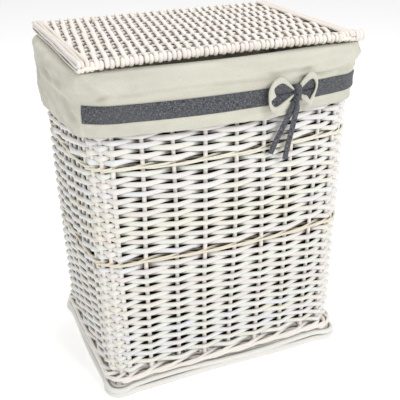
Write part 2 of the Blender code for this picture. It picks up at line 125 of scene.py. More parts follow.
def wall(z, inset, t):
    """Points of the wall at height z, moved in by inset, at stake numbers t."""
    z, inset, t = np.broadcast_arrays(np.asarray(z, float), np.asarray(inset, float), np.asarray(t, float))
    place = place_at(t)
    across, along, angle = place[..., 0], place[..., 1], place[..., 2]
    rise = z / SHAPE_HEIGHT
    half_width = (BASE_WIDTH + (RIM_WIDTH - BASE_WIDTH) * rise) / 2
    half_depth = (BASE_DEPTH + (RIM_DEPTH - BASE_DEPTH) * rise) / 2
    belly = BELLY * np.sin(math.pi / 2 * np.clip(rise, 0, 1))
    out_x, out_y = np.cos(angle), np.sin(angle)
    x = across * (half_width - CORNER_RADIUS) + (CORNER_RADIUS - inset) * out_x
    y = along * (half_depth - CORNER_RADIUS) + (CORNER_RADIUS - inset) * out_y
    bellied_x = x + out_x * END_BELLY_SHARE * belly * np.maximum(0, 1 - (y / half_depth) ** 2)
    bellied_y = y + out_y * belly * np.maximum(0, 1 - (x / half_width) ** 2)
    return np.stack([bellied_x, bellied_y + BACKSET, z], -1)


def smooth_step(low, high, value):
    share = np.clip((value - low) / (high - low), 0, 1)
    return share * share * (3 - 2 * share)


def lean(t, z):
    """How far the stakes stray sideways from their even places, in stake numbers."""
    turned = np.mod(t, COUNT)
    front = smooth_step(FIRST_FRONT - 0.5, FIRST_FRONT + 1, turned)
    front = front * (1 - smooth_step(LAST_FRONT - 1, LAST_FRONT + 0.5, turned))
    stray = 0.035 * np.sin(turned * 2.1 + z * 9) + 0.02 * np.sin(turned * 5.3 - z * 17)
    return FRONT_SHIFT * front + stray


def sag(t, z):
    """How far the rows stray up or down, by place: the same for every row, so that they stay packed."""
    turn = 2 * math.pi * np.mod(t, COUNT) / COUNT
    wave = np.sin(3 * turn + z * 14) + 0.7 * np.sin(7 * turn - z * 31 + 1) + 0.5 * np.sin(13 * turn + z * 55)
    return 0.0009 * wave


def at_corner(t, reach, corners=(1.5, 12.5, 20.5, 31.5)):
    """From 0 away from the corners to 1 at the middle of one, over this reach in stake numbers."""
    away = min_distance(np.mod(t, COUNT), corners)
    return smooth_step(reach, 0.0, away)


def min_distance(value, places):
    return np.min([np.abs(value - place) for place in places], axis=0)


# ---------------- rods as tubes

def unit(vectors):
    return vectors / np.maximum(np.linalg.norm(vectors, axis=-1, keepdims=True), 1e-12)


class Rods:
    """Gathers rods into one mesh. Each point keeps its place in its own rod laid straight, for the grain, its
    rod's tint, and how much painted shade it gets where rods cross."""

    def __init__(self, name, sides=10):
        self.name, self.sides = name, sides
        self.points, self.quads, self.caps, self.spaces, self.tints, self.painted_shades = [], [], [], [], [], []
        self.count = 0

    def add(self, path, up, half_up, half_out=None, tint=None, round_ends=True, over=None, over_up=False):
        """over says how far each point lies over the crossing rods, from -1 (under them) to 1. The faces that
        look at them from there get painted shade: a darker colour where light hardly reaches."""
        path = np.asarray(path, float)
        total, sides = len(path), self.sides
        half_up = np.broadcast_to(np.asarray(half_up, float), total).copy()
        half_out = half_up.copy() if half_out is None else np.broadcast_to(half_out, total).copy()
        if round_ends:
            for k, share in ((0, 0.45), (1, 0.86), (-1, 0.45), (-2, 0.86)):
                half_up[k] *= share
                half_out[k] *= share
        run = np.concatenate([[0], np.cumsum(np.linalg.norm(np.diff(path, axis=0), axis=1))])
        tangent = unit(np.gradient(path, axis=0))
        up = np.broadcast_to(np.asarray(up, float), path.shape)
        up = unit(up - (up * tangent).sum(1, keepdims=True) * tangent)
        out = np.cross(tangent, up)
        angle = 2 * math.pi * np.arange(sides) / sides
        rise, side = np.cos(angle), np.sin(angle)
        ring = rise[None, :, None] * (up * half_up[:, None])[:, None, :]
        ring = ring + side[None, :, None] * (out * half_out[:, None])[:, None, :]
        index = self.count + np.arange(total * sides).reshape(total, sides)
        turned = np.roll(index, -1, axis=1)
        quads = np.stack([index[:-1], turned[:-1], turned[1:], index[1:]], -1).reshape(-1, 4)
        offset = RNG.random(3) * 20
        space = np.empty((total, sides, 3))
        space[..., 0] = run[:, None] + offset[0]
        space[..., 1] = rise[None, :] * half_up.mean() + offset[1]
        space[..., 2] = side[None, :] * half_out.mean() + offset[2]
        self.points.append((path[:, None, :] + ring).reshape(-1, 3))
        self.quads.append(quads)
        self.caps += [index[0][::-1].tolist(), index[-1].tolist()]
        self.spaces.append(space.reshape(-1, 3))
        self.tints.append(np.full(total * sides, RNG.random() if tint is None else tint))
        over = np.broadcast_to(0.0 if over is None else over, total)
        facing = rise if over_up else side
        # painted shade: how much each face that looks at the crossing rods is darkened
        self.painted_shades.append(smooth_step(0.3, 0.8, -over[:, None] * facing[None, :]).ravel())
        self.count += total * sides

    def build(self, material, body, nodes):
        faces = np.concatenate(self.quads).tolist() + self.caps
        mesh = bpy.data.meshes.new(self.name)
        mesh.from_pydata(np.concatenate(self.points).tolist(), [], faces)
        for name, kind, field, values in (
            ("rod_space", "FLOAT_VECTOR", "vector", self.spaces), ("rod_tint", "FLOAT", "value", self.tints),
            ("rod_painted_shade", "FLOAT", "value", self.painted_shades),
        ):
            layer = mesh.attributes.new(name, kind, "POINT")
            layer.data.foreach_set(field, np.concatenate(values).astype(np.float32).ravel())
        return finish_piece(self.name, mesh, material, body, nodes)


def finish_piece(name, mesh, material, body, nodes):
    mesh.shade_smooth()
    mesh.materials.append(material)
    piece = bpy.data.objects.new(name, mesh)
    bpy.context.scene.collection.objects.link(piece)
    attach(piece, body)
    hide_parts(*nodes)
    return piece


UP = np.array([0.0, 0.0, 1.0])


def jitter(size):
    return size * (2 * RNG.random() - 1)


# ---------------- materials

def new_material(name):
    made = bpy.data.materials.new(name)
    made.use_nodes = True
    tree = made.node_tree
    return made, tree, tree.nodes["Principled BSDF"]


def node(tree, kind, **settings):
    made = tree.nodes.new(kind)
    for key, value in settings.items():
        if hasattr(made, key):
            setattr(made, key, value)
        else:
            made.inputs[key.replace("_", " ").title()].default_value = value
    return made


def attribute(tree, name, kind):
    made = node(tree, "ShaderNodeAttribute", attribute_name=name)
    return made.outputs[kind]


def scaled(tree, vector, scale):
    made = node(tree, "ShaderNodeMapping")
    made.inputs["Scale"].default_value = scale
    tree.links.new(vector, made.inputs["Vector"])
    return made.outputs["Vector"]


def noise_of(tree, vector, scale=1.0, detail=3.0, roughness=0.55):
    made = node(tree, "ShaderNodeTexNoise")
    made.inputs["Scale"].default_value = scale
    made.inputs["Detail"].default_value = detail
    made.inputs["Roughness"].default_value = roughness
    tree.links.new(vector, made.inputs["Vector"])
    return made.outputs["Fac"]


def spread(tree, value, low, high, to_low=0.0, to_high=1.0):
    made = node(tree, "ShaderNodeMapRange")
    for key, number in (("From Min", low), ("From Max", high), ("To Min", to_low), ("To Max", to_high)):
        made.inputs[key].default_value = number
    tree.links.new(value, made.inputs["Value"])
    return made.outputs["Result"]


def ramp(tree, value, stops):
    made = node(tree, "ShaderNodeValToRGB")
    elements = made.color_ramp.elements
    while len(elements) < len(stops):
        elements.new(0.5)
    for element, (place, colour) in zip(elements, stops):
        element.position, element.color = place, (*colour, 1.0)
    tree.links.new(value, made.inputs["Fac"])
    return made.outputs["Color"]


def mixed(tree, factor, first, second):
    """Mixes two colours, each a socket or a plain colour, by a factor socket."""
    made = tree.nodes.new("ShaderNodeMix")
    made.data_type = "RGBA"
    for value, socket in ((factor, made.inputs[0]), (first, made.inputs[6]), (second, made.inputs[7])):
        if isinstance(value, bpy.types.NodeSocket):
            tree.links.new(value, socket)
        else:
            socket.default_value = (*value, 1.0)
    return made.outputs[2]


def bump(tree, shader, height, strength, distance):
    made = node(tree, "ShaderNodeBump")
    made.inputs["Strength"].default_value = strength
    made.inputs["Distance"].default_value = distance
    tree.links.new(height, made.inputs["Height"])
    tree.links.new(made.outputs["Normal"], shader.inputs["Normal"])


def willow(name, tints, streak, streak_amount, roughness=(0.42, 0.72)):
    """Whitewashed willow: each rod has its own tint and streaks, thin wash in places, and painted shade where
    rods cross.
    """
    made, tree, shader = new_material(name)
    tint = attribute(tree, "rod_tint", "Fac")
    space = attribute(tree, "rod_space", "Vector")
    colour = ramp(tree, tint, tints)
    fine = noise_of(tree, scaled(tree, space, (28, 950, 950)), detail=4.0, roughness=0.6)
    broad = noise_of(tree, scaled(tree, space, (14, 160, 160)), detail=3.0)
    colour = mixed(tree, spread(tree, fine, 0.50, 0.72, 0.0, streak_amount), colour, streak)
    colour = mixed(tree, spread(tree, broad, 0.52, 0.80, 0.0, 0.30), colour, (0.80, 0.71, 0.56))
    flecks = noise_of(tree, scaled(tree, space, (160, 420, 420)), detail=2.0)
    colour = mixed(tree, spread(tree, flecks, 0.70, 0.78, 0.0, 0.55), colour, (0.42, 0.31, 0.21))
    # painted shade: faces that look at crossing rods are darkened towards near-black brown
    painted_shade = spread(tree, attribute(tree, "rod_painted_shade", "Fac"), 0.0, 1.0, 0.0, 0.85)
    colour = mixed(tree, painted_shade, colour, (0.035, 0.022, 0.013))
    tree.links.new(colour, shader.inputs["Base Color"])
    tree.links.new(spread(tree, fine, 0.3, 0.75, roughness[0], roughness[1]), shader.inputs["Roughness"])
    shader.inputs["Specular IOR Level"].default_value = 0.35
    bump(tree, shader, fine, 0.35, 0.0004)
    return made


def cloth(name, colours, thread, slub, roughness, sheen, bump_strength):
    """Plain-woven cloth on a UV map in metres: warp and weft threads, with slubs along both, and random
    darker patches of painted shade in place of the shading of soft folds.
    """
    made, tree, shader = new_material(name)
    uv = node(tree, "ShaderNodeUVMap", uv_map="cloth").outputs["UV"]
    warp = noise_of(tree, scaled(tree, uv, (thread, slub, 1)), detail=3.0, roughness=0.7)
    weft = noise_of(tree, scaled(tree, uv, (slub, thread, 1)), detail=3.0, roughness=0.7)
    woven = node(tree, "ShaderNodeMath", operation="ADD")
    tree.links.new(warp, woven.inputs[0])
    tree.links.new(weft, woven.inputs[1])
    woven = woven.outputs[0]
    colour = ramp(tree, spread(tree, woven, 0.72, 1.28), colours)
    # painted shade: darker patches that stand in for the shading of soft folds
    fold_shade_patches = noise_of(tree, scaled(tree, uv, (10, 34, 1)), detail=2.0)
    shade = tuple(0.80 * value for value in colours[len(colours) // 2][1])
    colour = mixed(tree, spread(tree, fold_shade_patches, 0.42, 0.72, 0.0, 0.55), colour, shade)
    tree.links.new(colour, shader.inputs["Base Color"])
    rough = spread(tree, woven, 0.7, 1.3, roughness - 0.06, roughness + 0.06)
    tree.links.new(rough, shader.inputs["Roughness"])
    shader.inputs["Specular IOR Level"].default_value = 0.2
    shader.inputs["Sheen Weight"].default_value = sheen
    shader.inputs["Sheen Roughness"].default_value = 0.5
    bump(tree, shader, woven, bump_strength, 0.0004)
    return made


WHITE_TINTS = [
    (0.00, (0.74, 0.71, 0.67)), (0.18, (0.79, 0.775, 0.74)), (0.36, (0.76, 0.72, 0.70)),
    (0.52, (0.73, 0.75, 0.78)), (0.66, (0.79, 0.78, 0.75)), (0.80, (0.75, 0.77, 0.71)),
    (1.00, (0.78, 0.75, 0.67)),
]
CREAM_TINTS = [(0.0, (0.74, 0.70, 0.58)), (0.5, (0.78, 0.75, 0.65)), (1.0, (0.74, 0.66, 0.52))]
LID_TINTS = [
    (0.00, (0.80, 0.73, 0.68)), (0.25, (0.85, 0.80, 0.75)), (0.50, (0.80, 0.74, 0.71)),
    (0.75, (0.86, 0.83, 0.78)), (1.00, (0.79, 0.74, 0.65)),
]
WHITE_WILLOW = willow("white willow", WHITE_TINTS, (0.62, 0.61, 0.60), 0.34)
CREAM_WILLOW = willow("cream willow", CREAM_TINTS, (0.60, 0.52, 0.38), 0.40)
LID_WILLOW = willow("pink-white willow", LID_TINTS, (0.60, 0.54, 0.51), 0.36)
COTTON_TONES = [(0.0, (0.51, 0.50, 0.42)), (0.5, (0.595, 0.58, 0.495)), (1.0, (0.66, 0.65, 0.57))]
CHAMBRAY_TONES = [(0.0, (0.010, 0.011, 0.018)), (0.38, (0.045, 0.047, 0.056)), (0.70, (0.13, 0.135, 0.145)),
                  (1.0, (0.32, 0.32, 0.32))]
# Painted shade: near-black cotton for the bag's outer face, so the gaps in the weave look dark.
PAINTED_SHADE_TONES = [(0.0, (0.016, 0.010, 0.006)), (0.5, (0.026, 0.017, 0.011)), (1.0, (0.040, 0.028, 0.019))]
COTTON = cloth("ivory cotton", COTTON_TONES, 2400, 260, 0.88, 0.15, 0.35)
CHAMBRAY = cloth("grey chambray", CHAMBRAY_TONES, 1150, 190, 0.90, 0.10, 0.45)
PAINTED_SHADE_COTTON = cloth("cotton behind the weave in painted shade", PAINTED_SHADE_TONES, 2400, 260, 0.95, 0.0, 0.3)


# ---------------- the woven wall

def even_parts():
    """How many stakes each rod of a row passes, all even numbers, so that every end is hidden inside."""
    return [(12, 14, 12), (10, 16, 12), (14, 10, 14), (16, 12, 10), (8, 14, 16)][RNG.integers(5)]


def weave_rows(rods, low, high, rows):
    """Plain weave: one rod in front of every other stake, and the next row in front of the rest."""
    pitch = (high - low) / rows
    for row in range(rows):
        z = low + (row + 0.5) * pitch + jitter(WEAVE_STRAY)
        start = 2 * RNG.integers(COUNT // 2) + (1 - row % 2)
        for length in even_parts():
            t = np.linspace(start - 0.45, start + length + 0.45, int((length + 0.9) * STEPS))
            near = np.cos(math.pi * (t - row))
            swing = np.arcsin(0.985 * near) / math.asin(0.985)
            depth = WEAVE_DEPTH * swing * (1 + 0.06 * np.sin(t * 1.7 + row)) * (1 - 0.3 * at_corner(t, 2.0))
            ends = smooth_step(0.9, 0.0, np.minimum(t - t[0], t[-1] - t))
            end_shift = 0.0012 * ends * (1 if length > 12 else -1)
            height = z + sag(t, z) + 0.0004 * np.sin(t * 2.3 + row * 1.9) + end_shift
            path = wall(height, WALL / 2 - depth, t + lean(t, z))
            size = 1.0 + 0.10 * (0.5 - (t - t[0]) / (t[-1] - t[0])) + jitter(ROD_JITTER)
            swell = 1 + (FOOT_SWELL + (RIM_SWELL - FOOT_SWELL) * z / RIM_TOP_Z) * near ** 2
            rods.add(path, UP, ROD_UP * size * swell, ROD_OUT * size, over=swing)
            start += length


def once_round(first):
    """Stake numbers once round the basket and a little further, from the first one."""
    return np.linspace(first, first + COUNT + 0.8, (COUNT + 1) * STEPS)


def wale_rows(rods, middle, rise, radius, depth, inset=WALL / 2, corner_push=0.0):
    """Rods that each pass in front of three stakes and behind one, and climb to the right in between."""
    for strand in range(WALE_STRANDS):
        t = once_round(WALE_START + strand)
        turn = np.mod((t - strand) / WALE_STRANDS, 1.0)
        in_front = np.clip(0.25 - 1.5 * np.cos(2 * math.pi * turn), -1, 1)
        climb = np.interp(turn, (0, 0.12, 0.88, 1), (0, -1, 1, 0))
        climb = np.convolve(np.pad(climb, 4, mode="edge"), np.ones(9) / 9, mode="valid")
        wander = 0.3 * radius * np.sin(t * 1.3 + 2.1 * strand)
        height = middle + rise * climb + wander + sag(t, middle)
        path = wall(height, inset - depth * in_front - corner_push * at_corner(t, 2.5), t + lean(t, middle))
        size = radius * (1 + jitter(0.08)) * (1 + 0.08 * np.sin(t * 0.4 + strand))
        rods.add(path, UP, size, 0.9 * size, over=in_front)


def build_weave():
    fields = {
        "weave_lower": (LOWER_WEAVE_Z, LOWER_WALE_Z, 25),
        "weave_middle": (MIDDLE_WEAVE_Z, UPPER_WALE_Z, 18),
        "weave_upper": (UPPER_WEAVE_Z, RIM_BORDER_Z, 15),
    }
    for name, (low, high, rows) in fields.items():
        rods = Rods(f"{name}_rods")
        weave_rows(rods, low - ROW_REACH, min(high + ROW_REACH, RIM_BORDER_Z), rows)
        rods.build(WHITE_WILLOW, "basket", [name])
    wales = {"wale_lower": (LOWER_WALE_Z, MIDDLE_WEAVE_Z), "wale_upper": (UPPER_WALE_Z, UPPER_WEAVE_Z)}
    for name, (low, high) in wales.items():
        rods = Rods(f"{name}_rods", sides=8)
        wale_rows(rods, (low + high) / 2, WALE_RISE, WALE_ROD, WEAVE_DEPTH * 0.85)
        rods.build(CREAM_WILLOW, "basket", [name])


def build_foot():
    """The slanting wale above the floor, and the border of thick rods that the basket stands on."""
    wale = Rods("foot_wale_rods")
    wale_rows(wale, FOOT_WALE_MIDDLE, FOOT_WALE_RISE, FOOT_WALE_ROD, WEAVE_DEPTH,
              inset=WALL / 2 - FOOT_SPREAD / 2, corner_push=0.003)
    wale.build(LID_WILLOW, "basket", ["foot_wale"])
    border = Rods("foot_border_rods")
    t = once_round(WALE_START)
    for height, depth, radius in FOOT_RODS:
        stray = 0.0017 * (height > 0.01) * np.sin(2 * math.pi * t / 6 + depth * 900)
        outward = depth + 0.0014 * np.sin(t * 1.1 + radius * 9000) + FOOT_CORNER_PUSH * at_corner(t, 1.9)
        path = wall(height + stray, WALL / 2 - FOOT_SPREAD - outward, t)
        border.add(path, UP, radius * (1 + 0.05 * np.sin(t * 0.7 + depth * 500)), over=np.sign(depth) * 0.9)
    border.build(WHITE_WILLOW, "basket", ["foot_border"])


def build_stakes():
    """The upright stakes, and the rim border that their tips are plaited into."""
    rods = Rods("stakes_and_rim_rods")
    for number in range(COUNT):
        z = np.linspace(0.006, 0.545, 40)
        t = np.full_like(z, float(number))
        path = wall(z, WALL / 2 + 0.0005 * np.sin(z * 40 + number), t + lean(t, z))
        outward = unit(wall(z, 0.0, t) - wall(z, 0.01, t))
        radius = STAKE_RADIUS * (1 + jitter(0.08)) * (1.05 - 0.1 * z / z[-1])
        rods.add(path, outward, radius, 1.14 * radius)
    for strand in range(RIM_STRANDS):
        t = np.linspace(strand, strand + COUNT + 0.6, COUNT * 8)
        phase = 2 * math.pi * (t + strand) / RIM_STRANDS
        height = (RIM_BORDER_Z + RIM_TOP_Z) / 2 + RIM_WAVE_UP * np.sin(phase)
        rods.add(wall(height, WALL / 2 - RIM_WAVE_OUT * np.cos(phase), t), UP, RIM_ROD)
    rods.build(LID_WILLOW, "basket", ["stakes_and_rim"])


def build_base():
    """The woven floor: sticks from end to end, and rods woven over and under them from front to back."""
    sticks = Rods("base_stick_rods")
    stick_y = [BACKSET + (k - (BASE_STICKS - 1) / 2) * BASE_STICK_PITCH for k in range(BASE_STICKS)]
    for y in stick_y:
        x = np.linspace(0.001 - MAT_HALF_WIDTH, MAT_HALF_WIDTH - 0.001, 24)
        path = np.stack([x, np.full_like(x, y), np.full_like(x, BASE_MIDDLE_Z)], -1)
        sticks.add(path, UP, 0.9 * BASE_STICK_RADIUS)
    sticks.build(CREAM_WILLOW, "basket", [f"base_stick_{k + 1}" for k in range(BASE_STICKS)])
    mat = Rods("base_mat_rods", sides=8)
    for number in range(int(2 * MAT_HALF_WIDTH / MAT_PITCH) + 1):
        x = -MAT_HALF_WIDTH + number * MAT_PITCH
        reach = MAT_HALF_DEPTH + MAT_BULGE * (1 - (x / MAT_HALF_WIDTH) ** 2)
        y = np.linspace(BACKSET - reach, BACKSET + reach, 56)
        phase = math.pi * ((y - stick_y[0]) / BASE_STICK_PITCH + number)
        near = np.clip(1.6 * np.cos(phase), -1, 1)
        path = np.stack([x + 0.0004 * np.sin(40 * y + number), y, BASE_MIDDLE_Z + 0.0031 * near], -1)
        mat.add(path, UP, 0.0024, 0.0036)
    mat.build(WHITE_WILLOW, "basket", ["base_mat"])


# ---------------- the lid

def lid_rise(x, y):
    forward = (HINGE_Y - y) / (HINGE_Y - FRONT_RAIL_Y)
    return LID_ARCH * forward * np.maximum(0, 1 - (2 * (x - LID_X) / LID_WIDTH) ** 2)


def lid_stick_y(number):
    return FRONT_RAIL_Y + number * (HINGE_Y - FRONT_RAIL_Y) / (LID_STICKS + 1)


def wrap(centre_y, reach, side, over, steps=7, turn=155):
    """The way round a rail, from its near side out round it: y and z beside the rail's middle."""
    angles = np.radians(np.linspace(0, turn, steps))
    y = centre_y + side * reach * np.sin(angles)
    return np.stack([y, over * reach * np.cos(angles)], -1)


def lid_rod_line(over, reach, woven=True, turn=155):
    """A rod's (y, height, over) line from the front rail to the back one, wrapped round both. A woven rod
    goes over and under the sticks, and a border's rod lies straight across them."""
    share = np.linspace(0, LID_STICKS + 1, (LID_STICKS + 1) * 12 + 1)
    wave = np.cos(math.pi * share) if woven else np.ones_like(share)
    height = over * reach * (0.90 if woven else 1.0) * np.sign(wave) * np.abs(wave) ** 2.0
    y = FRONT_RAIL_Y + share * (HINGE_Y - FRONT_RAIL_Y) / (LID_STICKS + 1)
    front = wrap(FRONT_RAIL_Y, reach, -1, over, turn=turn)[:0:-1]
    back = wrap(HINGE_Y, reach, 1, over * wave[-1], turn=turn)[1:]
    above = np.concatenate([np.zeros(len(front)), over * wave, np.zeros(len(back))])
    return np.column_stack([np.concatenate([front, np.stack([y, height], -1), back]), above])


def add_lid_rod(rods, x, line, thick, wide):
    """Adds a rod that runs front to back along the line, at x (a number, or one for each point)."""
    x = np.broadcast_to(x, len(line))
    path = np.stack([x, line[:, 0], LID_Z + lid_rise(x, line[:, 0]) + line[:, 1]], -1)
    outward = np.cross(np.broadcast_to([1.0, 0, 0], path.shape), np.gradient(path, axis=0))
    rods.add(path, outward, thick, wide, over=line[:, 2], over_up=True)


def build_lid():
    """The rails and sticks from side to side, the weave over and under them, and the two end borders."""
    sticks = Rods("lid_stick_rods")
    names = ["lid_front_rail", *(f"lid_stick_{k}" for k in range(1, LID_STICKS + 1)), "lid_back_rail"]
    half = LID_WIDTH / 2
    for number in range(len(names)):
        y = lid_stick_y(number)
        x = np.linspace(LID_X - half + 0.002, LID_X + half - 0.002 + (0 if number else LID_TOE_REACH), 40)
        path = np.stack([x, np.full_like(x, y), LID_Z + lid_rise(x, y)], -1)
        radius = RAIL_RADIUS if number in (0, len(names) - 1) else LID_STICK_RADIUS
        sticks.add(path, UP, radius * (1 + jitter(0.04)))
    sticks.build(LID_WILLOW, "lid", names)

    weave = Rods("lid_weave_rods")
    inner = half - LID_BORDER_WIDTH
    pitch = 2 * inner / LID_RODS
    for number in range(LID_RODS):
        x = LID_X - inner + (number + 0.5) * pitch
        line = lid_rod_line(1 if number % 2 else -1, RAIL_RADIUS + LID_ROD_THICK)
        if min(abs(x - side * HINGE_X) for side in (-1, 1)) < HINGE_SLOT_HALF_WIDTH:
            line = line[line[:, 0] < HINGE_Y - HINGE_SLOT_REACH]
        xs = x + 0.0007 * np.sin(line[:, 0] * 23 + number * 0.9) + 0.0004 * np.sin(number * 2.4)
        size = 1 + jitter(0.06)
        swell = 1.02 + 0.12 * line[:, 2] ** 4
        add_lid_rod(weave, xs, line, LID_ROD_THICK * size, 0.99 * pitch / 2 * size * swell)
    weave.build(LID_WILLOW, "lid", ["lid_weave"])

    for side, label in ((-1, "left"), (1, "right")):
        border = Rods(f"lid_{label}_border_rods")
        radius = LID_BORDER_WIDTH / 6
        for place in (-2, 0, 2):
            for over in (-1, 1):
                line = lid_rod_line(over, LID_THICKNESS / 2 - radius, woven=False, turn=88)
                x = LID_X + side * (half - LID_BORDER_WIDTH / 2 - place * radius)
                x = x + side * 0.0007 * np.sin(line[:, 0] * 31 + place) - side * 0.0006 * (place == -2)
                add_lid_rod(border, x, line, 0.95 * radius, 1.06 * radius)
        edge_rod(border, side)
        if side > 0:
            build_toe(border)
        border.build(LID_WILLOW, "lid", [f"lid_{label}_border"])


def edge_rod(rods, side):
    """The rod along the lid's end, which turns round the front corner and ends under the front wraps."""
    side_x = LID_X + side * (LID_WIDTH / 2 - EDGE_ROD)
    front_y = FRONT_RAIL_Y - LID_THICKNESS / 2 + EDGE_ROD
    straight = np.linspace(HINGE_Y + 0.003, front_y + EDGE_TURN, 40)
    points = [(side_x, y, 0.0) for y in straight]
    for angle in np.radians(np.linspace(9, 90, 10)):
        points.append((side_x - side * EDGE_TURN * (1 - math.cos(angle)),
                       front_y + EDGE_TURN * (1 - math.sin(angle)), -0.0012 * math.sin(angle)))
    for step in (0.008, 0.016):
        points.append((side_x - side * (EDGE_TURN + step), front_y, -0.0012 - 0.06 * step))
    path = np.array(points) + (0, 0, LID_Z)
    path[:, 2] += 0.0006 * np.sin(path[:, 1] * 60)
    rods.add(path, UP, EDGE_ROD * 0.95, EDGE_ROD)


def build_toe(rods):
    """Rods wound round the front rail's right end, past the border."""
    for turn in range(TOE_TURNS):
        x = LID_X + LID_WIDTH / 2 + (turn + 0.5) * LID_TOE_REACH / TOE_TURNS
        reach, back = LID_THICKNESS / 2 - TOE_ROD, FRONT_RAIL_Y + LID_TOE_DEPTH * (1 - 0.25 * turn)
        circles = [(FRONT_RAIL_Y, 0.0, reach), (back, 0.0, reach)]
        y, z = belt_round(circles, 40).T
        path = np.stack([x + 0.0006 * np.sin(np.arange(len(y)) / 6), y, LID_Z + z], -1)
        outward = path - np.array([x, (FRONT_RAIL_Y + back) / 2, LID_Z])
        rods.add(path, outward, 0.9 * TOE_ROD, 1.05 * TOE_ROD, round_ends=False)


def belt_round(circles, steps):
    """The closed line that a belt pulled tight round these circles (y, z, radius) takes."""
    line = []
    for k in range(steps + 1):
        angle = 2 * math.pi * (k + 0.5) / steps
        out_y, out_z = math.cos(angle), math.sin(angle)
        y, z, radius = max(circles, key=lambda c: c[0] * out_y + c[1] * out_z + c[2])
        line.append((y + radius * out_y, z + radius * out_z))
    return np.array(line)


def build_hinges():
    """Two willow strands twisted together, tied round the rim border and the lid's back rail."""
    for side, label in ((-1, "left"), (1, "right")):
        rim_out = wall(RIM_TOP_Z, 0.0, 7 - side * HINGE_X / LONG_PITCH)[1]
        circles = [(HINGE_Y, LID_Z, RAIL_RADIUS + HINGE_CLEARANCE)]
        for y in (rim_out - WALL, rim_out):
            circles += [(y, z, HINGE_CLEARANCE) for z in (RIM_BORDER_Z, RIM_TOP_Z)]
        coarse = belt_round(circles, 64)
        run = np.concatenate([[0], np.cumsum(np.linalg.norm(np.diff(coarse, axis=0), axis=1))])
        places = np.linspace(0, run[-1], 150)
        line = np.stack([np.interp(places, run, coarse[:, k]) for k in range(2)], -1)
        normal = np.gradient(line, axis=0)
        normal = unit(np.stack([normal[:, 1], -normal[:, 0]], -1))
        rods = Rods(f"hinge_loop_{label}_strands", sides=8)
        for twin in (0, 1):
            turn = 2 * math.pi * places / HINGE_TWIST + math.pi * twin
            x = side * HINGE_X + 0.0010 * np.cos(turn)
            offset = 0.0010 * np.sin(turn)[:, None] * normal
            path = np.stack([x, line[:, 0] + offset[:, 0], line[:, 1] + offset[:, 1]], -1)
            rods.add(path, (1.0, 0.0, 0.0), HINGE_STRAND)
        rods.build(CREAM_WILLOW, "basket", [f"hinge_loop_{label}"])


# ---------------- cloth

def grid_mesh(name, grid, uv, keep=None, ring=False):
    """A sheet's mesh from a grid of points, with its UV map in metres."""
    rows, columns = grid.shape[:2]
    mesh = bpy.data.meshes.new(name)
    faces, corners = [], []
    for i in range(rows - 1):
        for j in range(columns - (0 if ring else 1)):
            if keep is not None and not keep(i, j):
                continue
            after = (j + 1) % columns
            near, far = i * columns, (i + 1) * columns
            faces.append((near + j, near + after, far + after, far + j))
            step = uv[i, j + 1] if j + 1 < uv.shape[1] else uv[i, j]
            step_up = uv[i + 1, j + 1] if j + 1 < uv.shape[1] else uv[i + 1, j]
            corners += [uv[i, j], step, step_up, uv[i + 1, j]]
    mesh.from_pydata(grid.reshape(-1, 3).tolist(), [], faces)
    layer = mesh.uv_layers.new(name="cloth")
    layer.data.foreach_set("uv", np.array(corners, np.float32)[:, :2].ravel())
    return mesh


def round_uv(grid, run):
    """The UV map of a closed band of cloth: along its run, and up by the mean distance from row to row."""
    steps = np.linalg.norm(np.diff(grid, axis=0), axis=2).mean(1)
    height = np.concatenate([[0], np.cumsum(steps)])
    return np.stack(np.meshgrid(run, height), -1)


def thicken(piece, thickness, offset=0.0, second=None):
    """Gives a sheet its thickness, with another material on its far face if one is given."""
    shell = piece.modifiers.new("Cloth thickness", "SOLIDIFY")
    shell.thickness, shell.offset = thickness, offset
    if second:
        piece.data.materials.append(second)
        shell.material_offset = 1


def fold_noise(x, y, seed):
    return noise.noise(Vector((x, y, seed)))


CUFF_COLUMNS, SEAM_T = 460, 20.2  # how finely the cuff is cut up, and its upright seam's stake number
SLIT_HALF, SLIT_LOW_Z = 0.004 / LONG_PITCH, 0.528
SLITS = tuple(7 - side * HINGE_X / LONG_PITCH for side in (1, -1))


def cuff_columns():
    t = np.linspace(0, COUNT, CUFF_COLUMNS, endpoint=False)
    for middle in SLITS:
        t = t[np.abs(t - middle) > SLIT_HALF * 1.25]
        t = np.concatenate([t, [middle - SLIT_HALF, middle + SLIT_HALF]])
    return np.sort(t)


def ease(t):
    """How loose the cuff is at stake number t: tight along the front and back, looser on the ends."""
    turned = np.mod(t, COUNT)
    left = smooth_step(13, 15, turned) * (1 - smooth_step(19, 21.5, turned))
    right = smooth_step(30.5, 32.5, turned)
    return 0.35 + 0.65 * np.maximum(left, right)


def cuff_puff(z, t):
    """How far the cuff's outside stands proud of the CAD cuff, at height z and stake number t."""
    above = smooth_step(BAND_TOP_Z - 0.002, BAND_TOP_Z + 0.020, z) * (1 - smooth_step(0.545, 0.5572, z))
    hem = 1 - smooth_step(CUFF_LOW_Z, CUFF_LOW_Z + 0.010, z)
    seam = 0.0050 * max(0.0, 1 - abs(t - SEAM_T) / 1.3) ** 1.5
    right_corner = 0.0060 * at_corner(t, 3.0, corners=(31.5,)) * smooth_step(0.500, 0.550, z)
    stitched_in = -0.0009 * math.exp(-((t - SEAM_T - 0.10) / 0.07) ** 2)
    return 0.0026 * above + 0.0008 * hem + seam + right_corner + stitched_in


